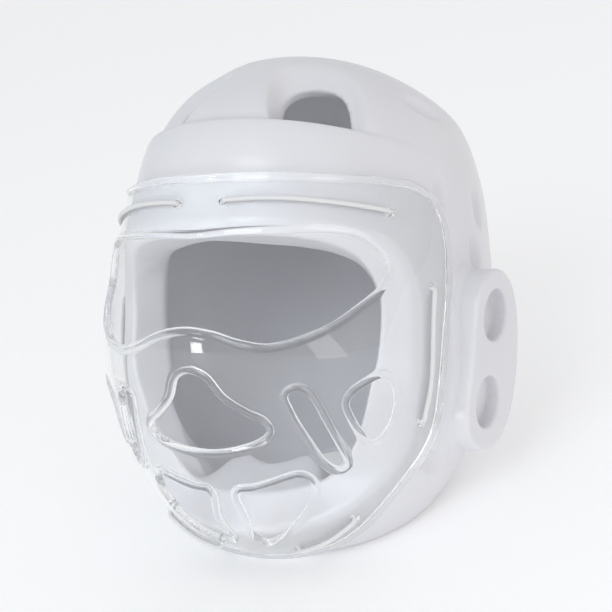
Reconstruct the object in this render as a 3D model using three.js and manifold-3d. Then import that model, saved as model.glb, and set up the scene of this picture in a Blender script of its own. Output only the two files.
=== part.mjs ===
// Karate headgear: a hollow foam shell, two ear pads, a clear face mask and the laces that hold the mask.
// Millimetres. Shapes are drawn upright, as worn: +X to the wearer's left, +Y to the back, +Z up.
// At the end everything is pitched back so that the flat neck rim lies on the floor, at Z = 0.

import * as THREE from 'three';
import { LoftGeometry } from 'three/addons/geometries/LoftGeometry.js';
import { mergeVertices } from 'three/addons/utils/BufferGeometryUtils.js';
import Module from 'manifold-3d';

// Level sections of the shell's outside: half width, and reach to the front and to the back.
const SHELL_ROWS = [
  { z: -140.2, wide: 0, front: 0, back: 0 },
  { z: -130, wide: 47.5, front: 53.8, back: 52.2 },
  { z: -100, wide: 78.8, front: 81.3, back: 75.5 },
  { z: -70, wide: 92.9, front: 107.3, back: 92.6 },
  { z: -35, wide: 99.5, front: 125.4, back: 101.9 },
  { z: 0, wide: 100.8, front: 126.2, back: 106.5 },
  { z: 35, wide: 97.3, front: 122.2, back: 107.7 },
  { z: 48, wide: 94.9, front: 121.9, back: 107.2 },
  { z: 56, wide: 93.4, front: 122.6, back: 106.7 },
  { z: 77, wide: 89.1, front: 118.8, back: 102.5 },
  { z: 79, wide: 88.6, front: 114.2, back: 101.8 },
  { z: 85, wide: 86.9, front: 111.4, back: 99.6 },
  { z: 110, wide: 76.8, front: 91.2, back: 82.6 },
  { z: 130, wide: 50.6, front: 63.4, back: 60.8 },
  { z: 141.1, wide: 0, front: 0, back: 0 },
];
// Exponent of the rounded sections: 2 is an ellipse, more is squarer.
const SQUARENESS = 2.11;

// Level sections of the head hollow: the foam is 12 to 17 thick at the sides and back, more at the cheeks
// and the chin. Square is the squareness of the front half; less leaves thicker cheeks.
const CAVITY_ROWS = [
  { z: -126, wide: 0, front: 0, back: 0, square: 3 },
  { z: -118, wide: 34, front: 12, back: 42, square: 3 },
  { z: -94, wide: 66, front: 16, back: 68, square: 3 },
  { z: -82, wide: 72, front: 24, back: 75, square: 2.8 },
  { z: -70, wide: 77, front: 44, back: 80.5, square: 2.2 },
  { z: -42, wide: 82.5, front: 80, back: 88, square: 1.5 },
  { z: -25, wide: 84.3, front: 95, back: 91, square: 1.45 },
  { z: 0, wide: 85, front: 109.5, back: 93.5, square: 1.45 },
  { z: 35, wide: 81.5, front: 105.5, back: 93, square: 1.6 },
  { z: 56, wide: 77.5, front: 104.5, back: 91, square: 1.9 },
  { z: 79, wide: 72.5, front: 97, back: 85.5, square: 2.11 },
  { z: 100, wide: 61.5, front: 79.5, back: 71, square: 2.11 },
  { z: 117, wide: 40, front: 51.5, back: 48, square: 2.11 },
  { z: 125, wide: 0, front: 0, back: 0, square: 2.11 },
];

// Levels and turns at which the shell is faceted. The mask uses the same ones, so that their facets match.
const SHELL_LEVELS = [
  -139.7, -135, -124, -107, -85, -59, -32, -4, 24, 48, 56, 77, 79, 92, 106, 119, 130, 137, 140.6,
];
const SHELL_TURNS = 36;
// The faceted foam stays this far inside the true skin, clear of the mask.
const SKIN_EASE = 0.4;
const CAVITY_LEVELS = [-125.6, -121, -111, -96, -82, -70, -44, -14, 16, 46, 70, 88, 103, 115, 122, 124.7];
const CAVITY_TURNS = 28;

// Outlines are drawn as angles seen from a point inside the head: across to the wearer's left, and up,
// from an axis that leaves forward and 20 degrees down. Points with across 0 lie on the middle plane.
const EYE_POINT_Z = -20;
const AXIS_DOWN = 20;
// Distances from that point between which an outline cuts the mask.
const MASK_REACH = [20, 260];
// Points on each faceted outline.
const OUTLINE_POINTS = { rim: 40, eye: 30, mouth: 16, slit: 12, leaf: 11, chin: 13 };

// Face opening of the foam, from the brow's middle to the chin's. The lip slopes from its outer line on the
// skin to the front edge, edgeDeep under the skin. A wall runs back from there to the inner edge x, y, z.
const FACE_ROWS = [
  { lipAcross: 0, lipUp: 37.2, edgeAcross: 0, edgeUp: 35.5, edgeDeep: 6, x: 0, y: -103, z: 12.5 },
  { lipAcross: 27, lipUp: 38, edgeAcross: 27, edgeUp: 35.8, edgeDeep: 6, x: 27, y: -97, z: 13.5 },
  { lipAcross: 40, lipUp: 38.6, edgeAcross: 37, edgeUp: 35, edgeDeep: 7, x: 41, y: -86, z: 14.5 },
  { lipAcross: 49.5, lipUp: 37.4, edgeAcross: 45, edgeUp: 32.3, edgeDeep: 8, x: 53, y: -73, z: 14 },
  { lipAcross: 56, lipUp: 32.6, edgeAcross: 50, edgeUp: 27, edgeDeep: 9, x: 62, y: -59.5, z: 10.5 },
  { lipAcross: 60.4, lipUp: 26, edgeAcross: 52.6, edgeUp: 21, edgeDeep: 9.5, x: 67, y: -49.5, z: 0 },
  { lipAcross: 62.8, lipUp: 17.5, edgeAcross: 53.2, edgeUp: 14.5, edgeDeep: 10, x: 68.2, y: -43.5, z: -13 },
  { lipAcross: 63, lipUp: 5.7, edgeAcross: 52.2, edgeUp: 5, edgeDeep: 10, x: 66.6, y: -39.5, z: -29 },
  { lipAcross: 60.6, lipUp: -8.5, edgeAcross: 49, edgeUp: -7, edgeDeep: 11, x: 62.8, y: -36.2, z: -52 },
  { lipAcross: 54.5, lipUp: -27.5, edgeAcross: 43.5, edgeUp: -22.5, edgeDeep: 13, x: 54.5, y: -33.6, z: -79 },
  { lipAcross: 47, lipUp: -36.2, edgeAcross: 37, edgeUp: -32, edgeDeep: 15, x: 44.5, y: -31.5, z: -92 },
  { lipAcross: 38, lipUp: -40.8, edgeAcross: 29, edgeUp: -37, edgeDeep: 17, x: 37.8, y: -29.9, z: -100 },
  { lipAcross: 30, lipUp: -43.6, edgeAcross: 22, edgeUp: -39, edgeDeep: 18, x: 29, y: -26.2, z: -90 },
  { lipAcross: 20, lipUp: -44.9, edgeAcross: 15, edgeUp: -39.6, edgeDeep: 18.5, x: 20.1, y: -23.4, z: -85 },
  { lipAcross: 10, lipUp: -45.4, edgeAcross: 7, edgeUp: -40, edgeDeep: 19, x: 9, y: -26.5, z: -89 },
  { lipAcross: 0, lipUp: -45.6, edgeAcross: 0, edgeUp: -40, edgeDeep: 19, x: 0, y: -29.1, z: -91 },
];
// The opening's cutter starts this far behind the inner edge, leaves the skin by the brim, and ends in front.
const FACE_CUT = { behind: 35, brim: 30, front: 190 };

const MASK_RIM = [
  { across: 0, up: 47.3 }, { across: 12, up: 47.8 }, { across: 22, up: 48.6 }, { across: 32, up: 50.1 },
  { across: 47, up: 54 }, { across: 55, up: 55.8 }, { across: 61, up: 55.3 }, { across: 66, up: 52 },
  { across: 70.2, up: 46 }, { across: 73, up: 38 }, { across: 74.5, up: 21 }, { across: 73.2, up: 4.3 },
  { across: 70.5, up: -8.6 }, { across: 65.5, up: -25 }, { across: 59.5, up: -33 },
  { across: 51.3, up: -39.7 }, { across: 39.5, up: -47.8 }, { across: 31, up: -53 },
  { across: 20, up: -57.2 }, { across: 0, up: -60 },
];
const EYE_OPENING = [
  { across: 0, up: 34.3 }, { across: 12, up: 35.1 }, { across: 24, up: 36.2 }, { across: 34, up: 37.5 },
  { across: 42, up: 37 }, { across: 48.4, up: 33.3 }, { across: 51.2, up: 27.5 },
  { across: 48.8, up: 22.6 }, { across: 41.8, up: 16.4 }, { across: 35.2, up: 11.9 },
  { across: 27, up: 8.7 }, { across: 20, up: 7.6 }, { across: 13.5, up: 8.8 }, { across: 7, up: 10.9 },
  { across: 0, up: 11.8 },
];
const MOUTH_OPENING = [
  { across: 0, up: 3.2 }, { across: 4.2, up: 1.6 }, { across: 7.8, up: -4 }, { across: 12.7, up: -8 },
  { across: 16.9, up: -10.6 }, { across: 18.2, up: -13.6 }, { across: 16.6, up: -16 },
  { across: 11.6, up: -18.3 }, { across: 0, up: -20.2 },
];
const SLIT_OPENING = [
  { across: 24.6, up: -2.7 }, { across: 27, up: -2.6 }, { across: 29.2, up: -4.4 },
  { across: 32.2, up: -12 }, { across: 35.4, up: -24 }, { across: 35.6, up: -27.8 },
  { across: 33.2, up: -29 }, { across: 30, up: -26.3 }, { across: 26.6, up: -17.5 },
  { across: 23.3, up: -7.8 }, { across: 22.8, up: -4.6 },
];
const LEAF_OPENING = [
  { across: 48.2, up: -2.3 }, { across: 43.6, up: -3.6 }, { across: 39.3, up: -6 },
  { across: 37.6, up: -9 }, { across: 38.5, up: -13.5 }, { across: 40.6, up: -19.4 },
  { across: 42.6, up: -23.2 }, { across: 45.7, up: -22.9 }, { across: 49.9, up: -19.1 },
  { across: 52.7, up: -11.8 }, { across: 52.3, up: -6.2 }, { across: 50.6, up: -3.3 },
];
const CHIN_OPENING = [
  { across: 22, up: -27.9 }, { across: 15.4, up: -29.3 }, { across: 9.6, up: -30.6 },
  { across: 4.4, up: -31.2 }, { across: 3.3, up: -33 }, { across: 4.2, up: -39 },
  { across: 3.6, up: -46.6 }, { across: 6, up: -49.4 }, { across: 12.3, up: -46.6 },
  { across: 19.4, up: -41.3 }, { across: 24, up: -36.6 }, { across: 25.7, up: -32.4 },
  { across: 24.8, up: -29.2 },
];
// Mask: gap to the foam, wall, and the round bead that edges it.
const MASK_GAP = 0.8;
const MASK_WALL = 2.6;
const BEAD_RADIUS = 2.2;
const BEAD_LIFT = 2.5;
const BEAD_SIDES = 5;

// Laces on the mask's outside. Their ends turn in and go through holes in the mask, down to the foam.
const LACE_RADIUS = 1.5;
const LACE_GAP = 0.6;
const LACE_TURN_IN = 2.6;
const LACE_DEPTH = 1.8;
const LACE_SIDES = 6;
const LACE_HOLE_SIDES = 5;
const LACE_HOLE_RADIUS = 2.4;
const LACES = {
  brow: [
    { across: 7.7, up: 42.3 }, { across: 19, up: 43.3 }, { across: 33, up: 44.2 }, { across: 47.4, up: 45.4 },
  ],
  side: [
    { across: 67, up: 22.5 }, { across: 66.4, up: 6 }, { across: 64, up: -10 }, { across: 60.2, up: -20.6 },
  ],
  chin: [
    { across: 31, up: -47.2 }, { across: 23, up: -51.2 }, { across: 14.5, up: -54 },
  ],
};

// Crown vents beside the raised centre panel, seen from the front. A hood runs back from its edge on the skin
// to the hole at its bottom. Both stand on the ledge.
const VENT_ROWS = [
  { hoodX: 27, hoodZ: 78.4, holeX: 28.4, holeZ: 78.4 },
  { hoodX: 23, hoodZ: 87, holeX: 26.4, holeZ: 87 },
  { hoodX: 18.6, hoodZ: 96, holeX: 25.3, holeZ: 92.5 },
  { hoodX: 13.8, hoodZ: 105.5, holeX: 25.2, holeZ: 96.5 },
  { hoodX: 11.2, hoodZ: 114.5, holeX: 26.8, holeZ: 100 },
  { hoodX: 13, hoodZ: 122.5, holeX: 29.6, holeZ: 102.2 },
  { hoodX: 20, hoodZ: 128, holeX: 33.5, holeZ: 103.4 },
  { hoodX: 33, hoodZ: 129.5, holeX: 37.5, holeZ: 103.6 },
  { hoodX: 44.5, hoodZ: 124, holeX: 41.5, holeZ: 102.6 },
  { hoodX: 57.4, hoodZ: 111.4, holeX: 45.5, holeZ: 100 },
  { hoodX: 63.8, hoodZ: 101.3, holeX: 49, holeZ: 95.5 },
  { hoodX: 68.5, hoodZ: 90.6, holeX: 52.4, holeZ: 88 },
  { hoodX: 72, hoodZ: 78.4, holeX: 55.4, holeZ: 78.4 },
];
const VENT = { depth: 13, fromY: -170, toY: -20, baseSteps: 5, clear: 0.3 };
const VENT_PARTS = [0, 0.2, 0.4, 0.6, 0.8, 1];

// Oval dimples in the foam: turn from the front, level, half length round the head, half height.
const DIMPLES = [
  { turn: 69, z: 107, long: 14, tall: 5.5 },
  { turn: 72, z: 55, long: 5.5, tall: 11 },
  { turn: 100, z: 61, long: 5.5, tall: 11 },
  { turn: 93, z: 31, long: 6.5, tall: 11 },
  { turn: 86, z: -86, long: 11, tall: 5.5 },
];
const DIMPLE_DEPTH = 4;
// Each dimple is cut by a lens of this half thickness, a little wider than the dimple that it leaves.
const DIMPLE_LENS = 7;
const DIMPLE_SPREAD = 1.2;

// Ear pad: outline seen from the side, outer face, edge rounding, and its two round pockets.
const EAR_OUTLINE = [
  { y: -17.5, z: 13 }, { y: -22.5, z: 2 }, { y: -20.5, z: -14 }, { y: -16, z: -32 }, { y: -12, z: -50 },
  { y: -9.5, z: -62 }, { y: -3.5, z: -71 }, { y: 6, z: -75.5 }, { y: 19, z: -75.5 }, { y: 31, z: -70 },
  { y: 40, z: -58 }, { y: 42.5, z: -41 }, { y: 38.5, z: -19 }, { y: 29, z: 1 }, { y: 19.5, z: 12.5 },
  { y: 10, z: 18.5 }, { y: -1, z: 20.5 }, { y: -11, z: 18.5 },
];
const EAR_FACE_X = 115.5;
const EAR_FACE_LEAN = 0.12;
const EAR_ROOT_X = 70;
const EAR_GAP = 0.3;
const EAR_POINTS = 24;
const EAR_EDGE = [{ back: 3.4, inset: 0 }, { back: 1, inset: 0.9 }, { back: 0, inset: 3.2 }];
const EAR_CENTRE = { y: 10, z: -28 };
const EAR_POCKETS = [{ y: 1, z: -4 }, { y: 11.5, z: -50 }];
const EAR_POCKET = { radius: 14, sides: 16 };
// Round pocket from its floor out: depth behind the pad's face, and part of its radius.
const EAR_POCKET_PROFILE = [
  { back: 10, part: 0.5 }, { back: 8.5, part: 0.8 }, { back: 5, part: 0.96 }, { back: 1, part: 1 },
  { back: -0.5, part: 1.09 },
];

// Resting pose: pitch back about X, then the lift and the shift that put the neck rim on the floor
// and the middle of the whole box over the origin.
const PITCH_BACK = 38;
const FLOOR_DROP = 104;
const SHIFT_Y = -0.678;
// Block under the floor that cuts the neck rim flat.
const FLOOR_BLOCK = 500;

const COLOURS = { foam: 0xeeeef4, clear: 0xdfe8ee, lace: 0xf4f4f2 };

const wasm = await Module();
wasm.setup();

const rad = (deg) => deg * Math.PI / 180;

// Monotone cubic through the squared half sizes, so that the poles close round.
function makeCurve(rows, key) {
  const zs = rows.map((row) => row.z);
  const vs = rows.map((row) => row[key] ** 2);
  const last = rows.length - 1;
  const step = zs.slice(1).map((z, i) => z - zs[i]);
  const slope = step.map((h, i) => (vs[i + 1] - vs[i]) / h);
  const lean = vs.map((v, i) => {
    if (i === 0) return slope[0];
    if (i === last) return slope[last - 1];
    if (slope[i - 1] * slope[i] <= 0) return 0;
    const a = 2 * step[i] + step[i - 1];
    const b = step[i] + 2 * step[i - 1];
    return (a + b) / (a / slope[i - 1] + b / slope[i]);
  });
  return (z) => {
    if (z <= zs[0] || z >= zs[last]) return 0;
    let i = 0;
    while (z > zs[i + 1]) i += 1;
    const h = step[i];
    const t = (z - zs[i]) / h;
    const keep = (1 + 2 * t) * (1 - t) ** 2 * vs[i] + t * t * (3 - 2 * t) * vs[i + 1];
    const bend = h * t * (1 - t) * ((1 - t) * lean[i] - t * lean[i + 1]);
    return Math.sqrt(Math.max(keep + bend, 0));
  };
}

// Squareness of the front half at a level, by straight steps between the rows.
function makeSquareness(rows) {
  return (z) => {
    if (rows[0].square === undefined) return SQUARENESS;
    const i = Math.max(1, Math.min(rows.length - 1, rows.findIndex((row) => row.z >= z)));
    const t = THREE.MathUtils.clamp((z - rows[i - 1].z) / (rows[i].z - rows[i - 1].z), 0, 1);
    return THREE.MathUtils.lerp(rows[i - 1].square, rows[i].square, t);
  };
}

function makeEgg(rows) {
  return {
    wide: makeCurve(rows, 'wide'),
    front: makeCurve(rows, 'front'),
    back: makeCurve(rows, 'back'),
    square: makeSquareness(rows),
  };
}

// Distance from the upright axis to the egg's skin, at a turn from the front and a level.
function eggRadius(egg, turn, z) {
  const ahead = Math.cos(turn) > 0;
  const reach = ahead ? egg.front(z) : egg.back(z);
  const power = ahead ? egg.square(z) : SQUARENESS;
  const side = Math.abs(Math.sin(turn)) / Math.max(egg.wide(z), 1e-6);
  const fore = Math.abs(Math.cos(turn)) / Math.max(reach, 1e-6);
  return (side ** power + fore ** power) ** (-1 / power);
}

function eggPoint(egg, turn, z) {
  const r = eggRadius(egg, turn, z);
  return new THREE.Vector3(r * Math.sin(turn), -r * Math.cos(turn), z);
}

// Outward normal of the egg's skin, from its slopes round the head and up.
function eggNormal(egg, turn, z) {
  const bit = { turn: 0.002, z: 0.05 };
  const round = eggPoint(egg, turn + bit.turn, z).sub(eggPoint(egg, turn - bit.turn, z));
  const rise = eggPoint(egg, turn, z + bit.z).sub(eggPoint(egg, turn, z - bit.z));
  return round.cross(rise).normalize();
}

const shellEgg = makeEgg(SHELL_ROWS);
const cavityEgg = makeEgg(CAVITY_ROWS);

function toSolid(geometry) {
  const bare = new THREE.BufferGeometry();
  bare.setAttribute('position', geometry.attributes.position);
  bare.setIndex(geometry.index);
  const welded = mergeVertices(bare, 1e-5);
  const mesh = new wasm.Mesh({
    numProp: 3,
    vertProperties: new Float32Array(welded.attributes.position.array),
    triVerts: new Uint32Array(welded.index.array),
  });
  return new wasm.Manifold(mesh);
}

function toGeometry(solid) {
  const mesh = solid.getMesh();
  const geometry = new THREE.BufferGeometry();
  geometry.setAttribute('position', new THREE.BufferAttribute(new Float32Array(mesh.vertProperties), 3));
  geometry.setIndex(new THREE.BufferAttribute(new Uint32Array(mesh.triVerts), 1));
  return geometry;
}

// Closed egg, its skin moved out along the normals by lift.
function eggSolid(egg, levels, turns, lift) {
  const sections = levels.map((z) => {
    const ring = [];
    for (let i = 0; i < turns; i += 1) {
      const turn = (i / turns) * 2 * Math.PI;
      ring.push(eggPoint(egg, turn, z).addScaledVector(eggNormal(egg, turn, z), lift));
    }
    return ring;
  });
  return toSolid(new LoftGeometry(sections, { closed: true, capStart: true, capEnd: true }));
}

const eyePoint = new THREE.Vector3(0, 0, EYE_POINT_Z);

function direction(point) {
  const away = rad(Math.hypot(point.across, point.up));
  const scale = away > 1e-9 ? Math.sin(away) / Math.hypot(point.across, point.up) : 0;
  const ahead = Math.cos(away);
  const rise = point.up * scale;
  const tilt = rad(AXIS_DOWN);
  return new THREE.Vector3(
    point.across * scale,
    -ahead * Math.cos(tilt) - rise * Math.sin(tilt),
    -ahead * Math.sin(tilt) + rise * Math.cos(tilt),
  );
}

// Point on the shell's skin in an outline direction, moved out along the normal by lift.
function skinPoint(point, lift) {
  const ray = direction(point);
  let near = 10;
  let far = 240;
  for (let i = 0; i < 50; i += 1) {
    const mid = (near + far) / 2;
    const p = eyePoint.clone().addScaledVector(ray, mid);
    const turn = Math.atan2(p.x, -p.y);
    const inside = Math.hypot(p.x, p.y) < eggRadius(shellEgg, turn, p.z);
    if (inside) near = mid;
    else far = mid;
  }
  const p = eyePoint.clone().addScaledVector(ray, near);
  const normal = eggNormal(shellEgg, Math.atan2(p.x, -p.y), p.z);
  return { at: p.addScaledVector(normal, lift), normal };
}

const mirrorOutline = (rows) => rows.map((row) => ({ across: -row.across, up: row.up })).reverse();

// Full outline from its left half, which starts and ends on the middle plane.
function wholeOutline(half) {
  return half.concat(mirrorOutline(half.slice(1, -1)));
}

// Closed smooth outline with evenly spaced points, counter-clockwise seen from the front.
function smoothOutline(rows, count) {
  const knots = rows.map((row) => new THREE.Vector3(row.across, row.up, 0));
  const curve = new THREE.CatmullRomCurve3(knots, true, 'centripetal');
  const points = curve.getSpacedPoints(count).slice(0, count);
  const flat = points.map((p) => new THREE.Vector2(p.x, p.y));
  if (THREE.ShapeUtils.isClockWise(flat)) flat.reverse();
  return flat.map((p) => ({ across: p.x, up: p.y }));
}

// Solid sector through an outline, from a near to a far distance, closed by rounded ends.
function sector(outline, [near, far]) {
  const mid = { across: 0, up: 0 };
  outline.forEach((p) => {
    mid.across += p.across / outline.length;
    mid.up += p.up / outline.length;
  });
  const rings = [
    { part: 0.05, reach: near * 0.5 }, { part: 0.5, reach: near * 0.85 }, { part: 1, reach: near },
    { part: 1, reach: far },
    { part: 0.75, reach: far }, { part: 0.5, reach: far },
    { part: 0.25, reach: far }, { part: 0.04, reach: far },
  ];
  const sections = rings.map((ring) => outline.map((p) => {
    const inner = {
      across: mid.across + (p.across - mid.across) * ring.part,
      up: mid.up + (p.up - mid.up) * ring.part,
    };
    return eyePoint.clone().addScaledVector(direction(inner), ring.reach);
  }));
  return toSolid(new LoftGeometry(sections, { closed: true, capStart: true, capEnd: true }));
}

// Round bead that follows a closed outline on the mask.
function bead(outline) {
  const spots = outline.map((p) => skinPoint(p, BEAD_LIFT));
  const count = spots.length;
  const sections = [];
  for (let i = 0; i <= count; i += 1) {
    const spot = spots[i % count];
    const ahead = spots[(i + 1) % count].at.clone().sub(spots[(i + count - 1) % count].at).normalize();
    const side = ahead.clone().cross(spot.normal).normalize();
    const out = side.clone().cross(ahead).normalize();
    const ring = [];
    for (let k = 0; k < BEAD_SIDES; k += 1) {
      const a = (k / BEAD_SIDES) * 2 * Math.PI;
      const arm = out.clone().multiplyScalar(Math.cos(a)).addScaledVector(side, Math.sin(a));
      ring.push(spot.at.clone().addScaledVector(arm, BEAD_RADIUS));
    }
    sections.push(ring);
  }
  return toSolid(new LoftGeometry(sections, { closed: true }));
}

// Line of a lace: along the mask, then turning in at both ends. Also gives the two holes it needs.
function laceLine(rows) {
  const lift = MASK_GAP + MASK_WALL + LACE_GAP + LACE_RADIUS;
  const curve = new THREE.CatmullRomCurve3(rows.map((row) => new THREE.Vector3(row.across, row.up, 0)));
  const spots = curve.getSpacedPoints(7).map((p) => skinPoint({ across: p.x, up: p.y }, lift));
  const along = spots.map((spot) => spot.at);
  const turnIn = (spot, neighbour) => {
    const ahead = spot.at.clone().sub(neighbour.at);
    ahead.addScaledVector(spot.normal, -ahead.dot(spot.normal)).normalize();
    const line = [30, 60, 90].map((deg) => spot.at.clone()
      .addScaledVector(ahead, LACE_TURN_IN * Math.sin(rad(deg)))
      .addScaledVector(spot.normal, -LACE_TURN_IN * (1 - Math.cos(rad(deg)))));
    line.push(line[2].clone().addScaledVector(spot.normal, -LACE_DEPTH));
    return { line, hole: { at: line[2], normal: spot.normal } };
  };
  const last = spots.length - 1;
  const start = turnIn(spots[0], spots[1]);
  const end = turnIn(spots[last], spots[last - 1]);
  return { line: start.line.slice().reverse().concat(along, end.line), holes: [start.hole, end.hole] };
}

// Round cord along a line of points.
function cord(line, radius, sides) {
  const last = line.length - 1;
  let side = null;
  const sections = line.map((at, i) => {
    const ahead = line[Math.min(i + 1, last)].clone().sub(line[Math.max(i - 1, 0)]).normalize();
    if (side === null) side = new THREE.Vector3(0.3, 0.5, 0.8).cross(ahead);
    side.addScaledVector(ahead, -side.dot(ahead)).normalize();
    const out = ahead.clone().cross(side);
    const ring = [];
    for (let k = 0; k < sides; k += 1) {
      const a = (k / sides) * 2 * Math.PI;
      const arm = side.clone().multiplyScalar(Math.cos(a)).addScaledVector(out, Math.sin(a));
      ring.push(at.clone().addScaledVector(arm, radius));
    }
    return ring;
  });
  return toSolid(new LoftGeometry(sections, { closed: true, capStart: true, capEnd: true }));
}

function laceHole(hole) {
  const outer = hole.at.clone().addScaledVector(hole.normal, 4);
  const inner = hole.at.clone().addScaledVector(hole.normal, -(LACE_DEPTH + 1.5));
  return cord([inner, outer], LACE_HOLE_RADIUS, LACE_HOLE_SIDES);
}

// Y of the shell's front at a place seen from the front.
function frontY(x, z) {
  const part = Math.min(Math.abs(x) / Math.max(shellEgg.wide(z), 1e-6), 1) ** SQUARENESS;
  return -shellEgg.front(z) * (1 - part) ** (1 / SQUARENESS);
}

// Cutter of the face opening: straight forward to the inner edge, along the wall to the front edge, up the
// lip to the skin, and on to a point in front of the face.
function faceCutter() {
  const mirrored = FACE_ROWS.slice(1, -1).reverse().map((row) => ({
    ...row, lipAcross: -row.lipAcross, edgeAcross: -row.edgeAcross, x: -row.x,
  }));
  const rows = FACE_ROWS.concat(mirrored).reverse();
  const inner = rows.map((row) => new THREE.Vector3(row.x, row.y, row.z));
  const behind = inner.map((p) => p.clone().setY(p.y + FACE_CUT.behind));
  const edge = rows.map((row) => skinPoint({ across: row.edgeAcross, up: row.edgeUp }, -row.edgeDeep).at);
  const lip = rows.map((row) => skinPoint({ across: row.lipAcross, up: row.lipUp }, 0).at);
  const brim = rows.map((row) => skinPoint({ across: row.lipAcross, up: row.lipUp }, FACE_CUT.brim).at);
  const front = eyePoint.clone().addScaledVector(direction({ across: 0, up: 0 }), FACE_CUT.front);
  const towards = (ring, goal, part) => ring.map((p) => p.clone().lerp(goal, part));
  const sections = [
    towards(behind, eyePoint, 0.95), behind, inner, edge, lip, brim,
    towards(brim, front, 0.5), towards(brim, front, 0.95),
  ];
  return toSolid(new LoftGeometry(sections, { closed: true, capStart: true, capEnd: true }));
}

// Hood and hole of a crown vent.
function ventCutter(side) {
  const ringOf = (part, yAt) => {
    const arch = VENT_ROWS.map((row) => new THREE.Vector2(
      THREE.MathUtils.lerp(row.hoodX, row.holeX, part),
      THREE.MathUtils.lerp(row.hoodZ, row.holeZ, part),
    ));
    for (let i = 1; i < VENT.baseSteps; i += 1) {
      arch.push(arch[VENT_ROWS.length - 1].clone().lerp(arch[0], i / VENT.baseSteps));
    }
    const ring = arch.map((p) => new THREE.Vector3(side * p.x, yAt(p), p.y));
    return side > 0 ? ring : ring.reverse();
  };
  const sections = [ringOf(0, () => VENT.fromY)];
  VENT_PARTS.forEach((part) => {
    const deep = VENT.depth * THREE.MathUtils.smoothstep(part, 0, 1) - VENT.clear * (1 - part);
    sections.push(ringOf(part, (p) => frontY(p.x, p.y) + deep));
  });
  sections.push(ringOf(1, () => VENT.toY));
  return toSolid(new LoftGeometry(sections, { closed: true, capStart: true, capEnd: true }));
}

function dimple(spec, side) {
  const turn = rad(spec.turn) * side;
  const at = eggPoint(shellEgg, turn, spec.z);
  const out = eggNormal(shellEgg, turn, spec.z);
  const round = new THREE.Vector3(Math.cos(turn), Math.sin(turn), 0);
  round.addScaledVector(out, -round.dot(out)).normalize();
  const up = out.clone().cross(round);
  const lens = new THREE.SphereGeometry(1, 10, 6);
  const frame = new THREE.Matrix4().makeBasis(
    round.multiplyScalar(spec.long * DIMPLE_SPREAD),
    up.multiplyScalar(spec.tall * DIMPLE_SPREAD),
    out.clone().multiplyScalar(DIMPLE_LENS),
  );
  frame.setPosition(at.addScaledVector(out, DIMPLE_LENS - DIMPLE_DEPTH));
  return toSolid(lens.applyMatrix4(frame));
}

function earPad(side) {
  const knots = EAR_OUTLINE.map((row) => new THREE.Vector3(0, row.y, row.z));
  const curve = new THREE.CatmullRomCurve3(knots, true, 'centripetal');
  const outline = curve.getSpacedPoints(EAR_POINTS).slice(0, EAR_POINTS);
  const ringAt = (back, inset) => {
    const ring = outline.map((p) => {
      const away = Math.hypot(p.y - EAR_CENTRE.y, p.z - EAR_CENTRE.z);
      const keep = (away - inset) / away;
      const z = EAR_CENTRE.z + (p.z - EAR_CENTRE.z) * keep;
      const x = EAR_FACE_X + EAR_FACE_LEAN * z - back;
      return new THREE.Vector3(side * x, EAR_CENTRE.y + (p.y - EAR_CENTRE.y) * keep, z);
    });
    return side > 0 ? ring : ring.reverse();
  };
  const sections = [ringAt(EAR_FACE_X - EAR_ROOT_X, 0)];
  EAR_EDGE.forEach((edge) => sections.push(ringAt(edge.back, edge.inset)));
  let pad = toSolid(new LoftGeometry(sections, { closed: true, capStart: true, capEnd: true }));
  pad = pad.subtract(eggSolid(shellEgg, SHELL_LEVELS, SHELL_TURNS, EAR_GAP - SKIN_EASE));
  EAR_POCKETS.forEach((pocket) => {
    const rings = EAR_POCKET_PROFILE.map((row) => {
      const r = EAR_POCKET.radius * row.part;
      const ring = [];
      for (let k = 0; k < EAR_POCKET.sides; k += 1) {
        const a = side * (k / EAR_POCKET.sides) * 2 * Math.PI;
        const z = pocket.z + r * Math.sin(a);
        const x = EAR_FACE_X + EAR_FACE_LEAN * z - row.back;
        ring.push(new THREE.Vector3(side * x, pocket.y + r * Math.cos(a), z));
      }
      return ring;
    });
    pad = pad.subtract(toSolid(new LoftGeometry(rings, { closed: true, capStart: true, capEnd: true })));
  });
  return pad;
}

const laces = {};
Object.entries(LACES).forEach(([name, rows]) => {
  laces[`${name}_lace_left`] = laceLine(rows);
  laces[`${name}_lace_right`] = laceLine(mirrorOutline(rows));
});
const laceHoles = Object.values(laces).flatMap((lace) => lace.holes.map(laceHole));

function makeShell() {
  let shell = eggSolid(shellEgg, SHELL_LEVELS, SHELL_TURNS, -SKIN_EASE);
  [1, -1].forEach((side) => {
    shell = shell.subtract(ventCutter(side));
    DIMPLES.forEach((spec) => {
      shell = shell.subtract(dimple(spec, side));
    });
  });
  shell = shell.subtract(eggSolid(cavityEgg, CAVITY_LEVELS, CAVITY_TURNS, 0));
  return shell.subtract(faceCutter());
}

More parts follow.
